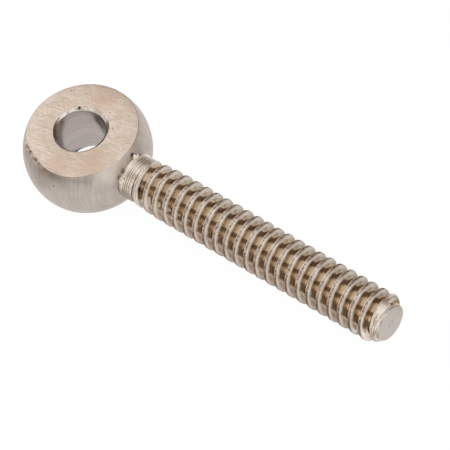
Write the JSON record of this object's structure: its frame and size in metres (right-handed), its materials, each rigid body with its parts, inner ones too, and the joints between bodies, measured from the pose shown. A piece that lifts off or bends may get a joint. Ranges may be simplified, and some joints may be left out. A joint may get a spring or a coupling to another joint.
{
  "type": "rod end",
  "caption": "One-piece rod end: a ball with two flats and a plain cross bore, turned on the end of a rod with a coarse trapezoidal thread.",
  "frame": {"origin": "on the bore's axis, halfway between the two flats of the eye", "axes": "+Z along the bore's axis, +X along the rod from the eye to the tip of the thread"},
  "size_m": [0.0551, 0.0158, 0.0076],
  "materials": {
    "steel": "turned steel with a warm plated sheen, ground flats, satin ball and polished thread roots"
  },
  "bodies": {
    "root": {"rod_end": "steel"}
  },
  "joints": []
}
